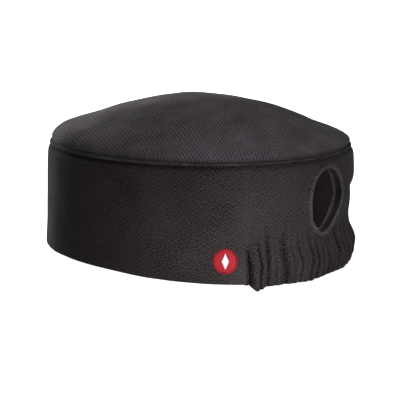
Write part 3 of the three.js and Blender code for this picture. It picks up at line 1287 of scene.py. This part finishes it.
@dataclass
class CrownPanel(SewnPiece):
    """The domed oval top: tent-like, puffed at its edge and a little sunken towards the back."""

    steps: int = 400
    outer_rows: int = 96
    inner_rows: int = 48
    nudge: float = 0.02
    arc_steps: int = 600
    dents: tuple[Dents, ...] = (Dents(0.00028, 0.070, 23), Dents(0.00018, 0.022, 12))
    calm_middle: float = 0.12
    calm_edge: tuple[float, float] = (0.9, 0.99)
    pucker_depth: float = 0.00006
    pucker_waves: tuple[float, float, float] = (61.0, 2.2, 7.0)
    pucker_reach: float = 0.975
    pucker_width: float = 0.03
    # Painted shade on the crown's edge, next to the seam.
    edge_shade: float = 0.5
    edge_start: float = 0.955
    profile: tuple[tuple[float, float, float], ...] = (
        (0.0, 1.0, 0.0),
        (0.1, 0.985, 0.0),
        (0.26, 0.928, 0.0),
        (0.42, 0.82, 0.0),
        (0.57, 0.69, 0.15),
        (0.7, 0.555, 0.5),
        (0.81, 0.44, 0.95),
        (0.9, 0.335, 1.0),
        (0.955, 0.24, 0.7),
        (0.988, 0.125, 0.3),
        (0.991, 0.03, 0.0),
        (0.978, -0.045, 0.0),
    )
    name = "crown_cloth"
    slot = Slot.CROWN
    nodes = ("crown_panel",)

    def faces(self) -> tuple[int, int]:
        """Returns how many faces the crown's grid has round and across."""
        return self.steps, self.outer_rows + 1 + self.inner_rows

    def shape(self, column: Array, row: Array) -> Skin:
        """Gives the crown's skin.

        Args:
            column: Column numbers of the grid's points.
            row: Row numbers of the grid's points, over the outer face and back under it.

        Returns:
            The skin. Only its outer face carries painted shading: painted shade near its edge.
        """
        form = self.form
        turn = ring_turn(column, self.steps) - math.pi
        angle = np.degrees(turn)
        outside = row <= self.outer_rows
        last = len(self.profile) - 1
        share = np.where(outside, row / self.outer_rows, 1.0 - (row - self.outer_rows - 1) / self.inner_rows)
        share = np.clip(share, 0.0, 1.0)
        table = np.array(self.profile)
        reach, rise, sag = smooth_rows(table, share * last).T
        before = smooth_rows(table, np.clip(share * last - self.nudge, 0.0, last)).T
        after = smooth_rows(table, np.clip(share * last + self.nudge, 0.0, last)).T
        edge = np.linalg.norm(form.place(angle, 0.0, form.side_taper + form.seam_roll)[:, :2], axis=1)
        heading = form.place(angle, 0.0, 0.0)[:, :2]
        heading /= np.linalg.norm(heading, axis=1)[:, None]
        out = edge * (after[0] - before[0])
        down = form.crown_rise * (after[1] - before[1])
        thick = np.where(outside, 0.0, form.crown_cloth) / np.maximum(np.hypot(out, down), TINY)
        seat = form.welt_radius + form.clearance
        seam = form.seam_height(angle) + seat
        middle = (form.front_height + form.back_height) / 2.0 + seat
        sunken = form.crown_sag * sag * ((1.0 + np.cos(turn)) / 2.0) ** 2
        flat = heading * (edge * reach + thick * down)[:, None]
        calm = ease(reach, 0.0, self.calm_middle) * (1.0 - ease(reach, *self.calm_edge))
        rough = uneven(self.dents, np.column_stack((flat, np.zeros(len(flat))))) * calm
        waves = self.pucker_depth * puckers(turn, *self.pucker_waves)
        near_seam = bell(reach, self.pucker_reach, self.pucker_width)
        height = middle + (seam - middle) * reach + form.crown_rise * rise - sunken - thick * out
        height = height + rough + waves * near_seam
        # Painted shade towards the seam.
        painted_light_and_shade = -self.edge_shade * ease(share, self.edge_start, 1.0) * outside
        pattern = heading * (self.arc(share) * edge)[:, None]
        return np.column_stack((flat, height)), pattern, painted_light_and_shade

    def arc(self, share: Array) -> Array:
        """Gives lengths along the crown's profile from its middle.

        Args:
            share: Places on the profile, from 0 in the middle to 1 at the seam.

        Returns:
            The length to each place, as a share of the crown's radius.
        """
        table = np.array(self.profile)
        steps = np.linspace(0.0, len(table) - 1, self.arc_steps)
        reach, rise, _ = smooth_rows(table, steps).T
        slope = self.form.crown_rise / ((self.form.half_length + self.form.half_width) / 2.0)
        run = run_along(np.column_stack((reach, slope * rise)))
        return np.interp(share * (len(table) - 1), steps, run)


@dataclass
class SeamWelt(SewnPiece):
    """The round ridge in the seam, flatter round the back, with a notch where its ends cross."""

    radius: float = 0.00125
    proud: float = 0.0007
    back_radius: float = 0.0010
    back_proud: float = 0.0002
    back_ends: tuple[float, float] = (40.0, 75.0)
    notch_angle: float = 62.4
    notch_width: float = 0.55
    notch_narrow: float = 0.0006
    notch_depth: float = 0.0007
    wobble: float = 0.00008
    wobble_waves: tuple[float, float] = (83.0, 5.0)
    # Painted highlight along the crest and painted shade on the sides.
    ridge_light: float = 0.36
    ridge_change: float = 0.14
    ridge_waves: tuple[float, float] = (31.0, 7.0)
    ridge_shade: float = 0.48
    ridge_sharpness: int = 6
    steps: int = 1080
    sides: int = 18
    name = "seam_welt"
    slot = Slot.WELT
    nodes = ("crown_welt",)

    def faces(self) -> tuple[int, int]:
        """Returns how many faces the ridge's grid has along and round."""
        return self.steps, self.sides

    def shape(self, column: Array, row: Array) -> Skin:
        """Gives the ridge's skin.

        Args:
            column: Column numbers of the grid's points.
            row: Row numbers of the grid's points.

        Returns:
            The skin, with a painted highlight along its crest and painted shade on its sides.
        """
        form = self.form
        along = ring_turn(column, self.steps) - math.pi
        angle = np.degrees(along)
        turn = ring_turn(row, self.sides)
        back = 1.0 - ease(form.from_back(angle), *self.back_ends)
        notch = bell(angle, self.notch_angle, self.notch_width)
        radius = self.radius + (self.back_radius - self.radius) * back - self.notch_narrow * notch
        proud = self.proud + (self.back_proud - self.proud) * back - self.notch_depth * notch
        wobble = self.wobble * np.prod([np.sin(along * count) for count in self.wobble_waves], axis=0)
        centre = form.side_taper + form.seam_roll + radius - proud + wobble
        height = form.seam_height(angle) + radius * np.sin(turn)
        points = form.place(angle, height, centre - radius * np.cos(turn))
        # Painted highlight on the crest, painted shade elsewhere round the ridge.
        change = self.ridge_change * np.prod([np.sin(along * count) for count in self.ridge_waves], axis=0)
        crest = np.clip(np.cos(turn), 0.0, 1.0) ** self.ridge_sharpness
        painted_light_and_shade = (self.ridge_light + change) * crest - self.ridge_shade
        return points, np.stack((form.around(angle), self.radius * turn), axis=-1), painted_light_and_shade


@dataclass
class EmbroideredPatch(SewnPiece):
    """The round patch: a satin ground with a plain diamond, inside a bound edge."""

    angle: float = 47.2
    height: float = 0.0164
    radius: float = 0.0067
    lift: float = 0.0002
    ground: float = 0.0008
    border: float = 0.00115
    border_least: float = 0.0003
    border_share: float = 0.87
    border_ease: tuple[float, float] = (0.03, 0.02)
    rope_turns: float = 66.0
    rope_slant: float = 14.0
    rope_depth: float = 0.12
    rib_gap: float = 0.00062
    rib_depth: float = 0.00006
    diamond_width: float = 0.0019
    diamond_height: float = 0.0043
    diamond_lift: float = 0.00018
    diamond_edge: tuple[float, float] = (0.94, 1.06)
    steps: int = 240
    face_rows: int = 64
    back_rows: int = 8
    name = "embroidered_patch"
    slot = Slot.PATCH
    nodes = ("round_patch",)
    sharp = 70.0

    def faces(self) -> tuple[int, int]:
        """Returns how many faces the patch's grid has round and across."""
        return self.steps, self.face_rows + self.back_rows

    def diamond(self, across: Array, up: Array) -> Array:
        """Returns 1 inside the diamond and 0 outside it, with a narrow edge."""
        away = np.abs(across) / self.diamond_width + np.abs(up) / self.diamond_height
        return 1.0 - ease(away, *self.diamond_edge)

    def shape(self, column: Array, row: Array) -> Skin:
        """Gives the patch's skin.

        Args:
            column: Column numbers of the grid's points.
            row: Row numbers of the grid's points, over its face and back under it.

        Returns:
            The skin, with no painted shading.
        """
        turn = ring_turn(column, self.steps)
        face = row <= self.face_rows
        share = np.where(face, row / self.face_rows, 1.0 - (row - self.face_rows) / self.back_rows)
        across = self.radius * share * np.cos(turn)
        up = self.radius * share * np.sin(turn)
        edge = ease(share, self.border_share - self.border_ease[0], self.border_share + self.border_ease[1])
        middle = (1.0 + self.border_share) / 2.0
        bead = np.clip((share - middle) / (1.0 - middle), -1.0, 1.0)
        rope = 1.0 + self.rope_depth * np.sin(turn * self.rope_turns + self.rope_slant * bead)
        bound = self.border * np.sqrt(np.clip(1.0 - bead**2, 0.0, 1.0)) * rope
        ribs = self.rib_depth * np.sin(across * 2.0 * np.pi / self.rib_gap)
        satin = self.ground + ribs + self.diamond_lift * self.diamond(across, up)
        rise = np.where(face, satin * (1.0 - edge) + np.maximum(bound, self.border_least) * edge, 0.0)
        per_degree = float(self.form.around(self.angle + 0.5) - self.form.around(self.angle - 0.5))
        points = self.form.on_cloth(self.angle - across / per_degree, self.height + up, self.lift + rise)
        return points, np.stack((across, up), axis=-1), np.zeros(len(turn))

    def refine(self, piece: Object) -> None:
        """Marks the motif in the mesh.

        Args:
            piece: The patch.
        """
        mesh = piece.data
        flat = np.empty(len(mesh.loops) * 2)
        mesh.uv_layers.active.data.foreach_get("uv", flat)
        across, up = flat.reshape(-1, 2).T
        motif = mesh.attributes.new(MOTIF, "FLOAT", "CORNER")
        motif.data.foreach_set("value", self.diamond(across, up))


@dataclass
class StitchRow:
    """A row of sewn stitches, modelled once and copied along a line on the cloth."""

    name: str
    length: float = 0.0021
    gap: float = 0.0007
    thickness: float = 0.00032
    flatness: float = 0.5
    looseness: float = 0.00022
    seed: int = 5

    def stitch(self) -> Object:
        """Models one stitch about the origin, lying along X with its top towards Z.

        Returns:
            The stitch.
        """
        deselect()
        bpy.ops.mesh.primitive_uv_sphere_add(segments=8, ring_count=6, radius=0.5)
        one = bpy.context.object
        bpy.ops.object.mode_set(mode="EDIT")
        bpy.ops.mesh.select_all(action="SELECT")
        size = (self.length, self.thickness, self.thickness * self.flatness)
        bpy.ops.transform.resize(value=size)
        bpy.ops.object.mode_set(mode="OBJECT")
        return one

    def build(self, line: Array, outward: Array, material: Material, slot: Slot) -> Object:
        """Lays the stitches along a line.

        Args:
            line: Close points along the line.
            outward: The way out of the cloth at each point.
            material: The thread.
            slot: A material slot. Not used.

        Returns:
            The dressed piece, all its stitches in one mesh.
        """
        one = self.stitch()
        along = run_along(line)
        pitch = self.length + self.gap
        draw = np.random.default_rng(self.seed)
        copies = []
        for number in range(int(along[-1] // pitch)):
            middle = (number + 0.5) * pitch + draw.normal(0.0, self.looseness)
            ends = [self.read(along, line, middle + side * self.length / 2.0) for side in (-1.0, 1.0)]
            heading = (ends[1] - ends[0]).normalized()
            up = self.read(along, outward, middle)
            up = (up - heading * up.dot(heading)).normalized()
            side = up.cross(heading)
            turn = Matrix((heading, side, up)).transposed().to_4x4()
            copy = bpy.data.objects.new(self.name, one.data.copy())
            bpy.context.scene.collection.objects.link(copy)
            copy.data.transform(Matrix.Translation((ends[0] + ends[1]) / 2.0) @ turn)
            copies.append(copy)
        bpy.data.objects.remove(one)
        deselect()
        for copy in copies:
            copy.select_set(True)
        bpy.context.view_layer.objects.active = copies[0]
        bpy.ops.object.join()
        return finish_piece(bpy.context.object, material)

    @staticmethod
    def read(along: Array, rows: Array, at: float) -> Vector:
        """Returns the row at a length along the line."""
        return Vector([float(np.interp(at, along, rows[:, axis])) for axis in range(3)])


@dataclass
class Stitching:
    """The sewn lines: round the opening and over the casing."""

    form: CapForm
    hem: OpeningHem
    hem_grow: float = 0.0033
    hem_proud: float = 0.00028
    casing_proud: float = -0.0001
    casing_thread: float = 0.0003
    casing_end: float = 1.0
    steps: int = 900

    def outward(self, line: Array) -> Array:
        """Returns the way out of the cloth at each point, level and away from the middle."""
        away = line * np.array((1.0 / self.form.half_width**2, 1.0 / self.form.half_length**2, 0.0))
        return away / np.linalg.norm(away, axis=1)[:, None]

    def build(self, thread: Material) -> list[Object]:
        """Makes the rows of stitches.

        Args:
            thread: The thread's material.

        Returns:
            The dressed pieces.
        """
        turn = np.linspace(0.0, 2.0 * np.pi, self.steps)
        same = np.ones(self.steps)
        round_hem = self.hem.loop(turn, self.hem_grow * same, self.hem_proud * same)
        edge = self.form.casing_angle - self.casing_end
        angle = np.linspace(-edge, edge, self.steps)
        over = self.form.on_cloth(angle, self.form.casing_height * same, self.casing_proud * same)
        rows = (
            (StitchRow("hem_stitches"), round_hem, Slot.BINDING),
            (StitchRow("casing_stitches", thickness=self.casing_thread), over, Slot.CASING),
        )
        return [row.build(line, self.outward(line), thread, slot) for row, line, slot in rows]


@dataclass(frozen=True)
class Lamp:
    """One light: its turn from the camera's side, its elevation, how far away it is and its power."""

    name: str
    kind: LampKind
    turn: float
    elevation: float
    away: float
    power: float
    settings: dict[str, object]
    aim: tuple[float, float, float] = CAP_MIDDLE


LAMPS = (
    Lamp("high_light", LampKind.SUN, 150.0, 80.0, 3.0, 4.4, {"angle": math.radians(40.0)}),
    Lamp("key_light", LampKind.AREA, 20.0, 14.0, 1.5, 5.0, {"shape": "SQUARE", "size": 0.6}),
    Lamp("rim_light", LampKind.AREA, -146.0, 8.0, 1.4, 138.0, {"shape": "SQUARE", "size": 0.3}),
    Lamp(
        "pool_light",
        LampKind.SPOT,
        4.0,
        16.0,
        1.2,
        345.0,
        {"spot_size": math.radians(7.0), "spot_blend": 1.0, "shadow_soft_size": 0.06},
        aim=(0.050, 0.077, 0.009),
    ),
    Lamp("hollow_fill", LampKind.POINT, 0.0, 90.0, 0.018, 0.42, {"shadow_soft_size": 0.015}),
)


@dataclass
class Studio:
    """The pale floor, the soft lights and the camera.

    One wide light from above, one weak light in front, one behind for the rim, a soft-edged pool of
    light over the gathers and a weak one in the hollow, which isn't wholly black in the photograph.
    """

    target: tuple[float, float, float] = CAP_MIDDLE
    azimuth: float = 128.7
    elevation: float = 10.79
    distance: float = 0.650
    focal_pixels: float = 1080.7
    picture_pixels: float = 400.0
    target_pixel: tuple[float, float] = (197.8, 169.7)
    sensor: float = 36.0
    view_end: float = 50.0
    floor_size: float = 16.0
    air_strength: float = 0.2

    def backward(self, azimuth: float, elevation: float) -> Vector:
        """Gives the way from the target to a viewer.

        Args:
            azimuth: The viewer's turn round the cap.
            elevation: The viewer's height above the horizon.

        Returns:
            The way, of length 1.
        """
        turn = math.radians(azimuth)
        rise = math.radians(elevation)
        return Vector((math.sin(turn) * math.cos(rise), -math.cos(turn) * math.cos(rise), math.sin(rise)))

    def camera(self) -> None:
        """Adds the camera at the photograph's angle."""
        back = self.backward(self.azimuth, self.elevation)
        deselect()
        bpy.ops.object.camera_add(location=Vector(self.target) + back * self.distance)
        camera = bpy.context.object
        camera.rotation_euler = back.to_track_quat("Z", "Y").to_euler()
        middle = self.picture_pixels / 2.0
        camera.data.sensor_width = self.sensor
        camera.data.lens = self.focal_pixels * self.sensor / self.picture_pixels
        camera.data.shift_x = (middle - self.target_pixel[0]) / self.picture_pixels
        camera.data.shift_y = (self.target_pixel[1] - middle) / self.picture_pixels
        camera.data.clip_end = self.view_end
        bpy.context.scene.camera = camera

    def floor(self, material: Material) -> None:
        """Adds the floor.

        Args:
            material: Its finish.
        """
        deselect()
        bpy.ops.mesh.primitive_plane_add(size=self.floor_size)
        floor = bpy.context.object
        floor.name = "studio_floor"
        floor.data.materials.append(material)

    def light(self, lamp: Lamp) -> None:
        """Adds one light.

        Args:
            lamp: The light's kind, place, power and settings.
        """
        back = self.backward(self.azimuth + lamp.turn, lamp.elevation)
        bpy.ops.object.light_add(type=lamp.kind.value, location=Vector(lamp.aim) + back * lamp.away)
        light = bpy.context.object
        light.name = lamp.name
        light.rotation_euler = back.to_track_quat("Z", "Y").to_euler()
        light.data.energy = lamp.power
        for setting, value in lamp.settings.items():
            setattr(light.data, setting, value)

    def build(self, material: Material) -> None:
        """Makes the whole studio.

        Args:
            material: The floor's finish.
        """
        self.camera()
        self.floor(material)
        world = bpy.data.worlds.new("studio_air")
        world.use_nodes = True
        ground = world.node_tree.nodes["Background"]
        ground.inputs["Color"].default_value = (1.0, 1.0, 1.0, 1.0)
        ground.inputs["Strength"].default_value = self.air_strength
        bpy.context.scene.world = world
        bpy.context.scene.view_settings.view_transform = "Standard"
        for lamp in LAMPS:
            self.light(lamp)


# The crown's twill is lighter than the band's: partly its own cloth, partly painted light where the top
# faces the lamps, with the band's copy darker as painted shade.
CROWN_TWILL = ClothFinish(
    "crown_twill",
    deep=(0.0044, 0.0042, 0.0048),
    pale=(0.0358, 0.0314, 0.0354),
    line_gap=0.0019,
    line_turn=30.0,
    line_share=0.37,
    cross_gap=0.00208,
    cross_turn=78.3,
    cross_share=0.3,
    cloud=0.7,
    relief=0.0001,
)
BAND_TWILL = ClothFinish(
    "band_twill",
    deep=(0.0007, 0.0006, 0.0007),
    pale=(0.0178, 0.0148, 0.0152),
    line_gap=0.00185,
    line_turn=53.0,
    line_share=0.2,
    relief=0.0002,
    cross_share=0.4,
    cloud=0.42,
)
HEM_TWILL = ClothFinish(
    "hem_twill",
    deep=(0.0038, 0.0034, 0.0036),
    pale=(0.0330, 0.0286, 0.0295),
    line_gap=0.00165,
    line_turn=20.0,
    line_share=0.12,
    relief=0.00014,
)
WELT_TWILL = ClothFinish(
    "welt_twill",
    deep=(0.0040, 0.0036, 0.0039),
    pale=(0.0330, 0.0290, 0.0310),
    line_gap=0.0013,
    line_turn=45.0,
    line_share=0.4,
    relief=0.00012,
)
BLACK_THREAD = ThreadFinish("black_thread", (0.0035, 0.0031, 0.0033))
PATCH_SATIN = SatinFinish("patch_satin", (0.128, 0.0036, 0.0072), (0.25, 0.24, 0.245))
PALE_FLOOR = StageFinish("pale_floor", (0.26, 0.26, 0.26), 0.86)


def main() -> None:
    """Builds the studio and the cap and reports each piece."""
    logging.basicConfig(level=logging.INFO, format="%(name)s %(message)s")
    Studio().build(PALE_FLOOR.make())
    form = CapForm()
    hem = OpeningHem(form)
    band = BAND_TWILL.make()
    pieces = [
        CrownPanel(form).build(CROWN_TWILL.make()),
        SeamWelt(form).build(WELT_TWILL.make()),
        SideBand(form, hem).build(band),
        hem.build(HEM_TWILL.make()),
        ElasticCasing(form).build(band),
        EmbroideredPatch(form).build(PATCH_SATIN.make()),
        *Stitching(form, hem).build(BLACK_THREAD.make()),
    ]
    for piece in pieces:
        LOG.info("%s: %d faces", piece.name, len(piece.data.polygons))
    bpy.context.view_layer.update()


if __name__ == "__main__":
    main()
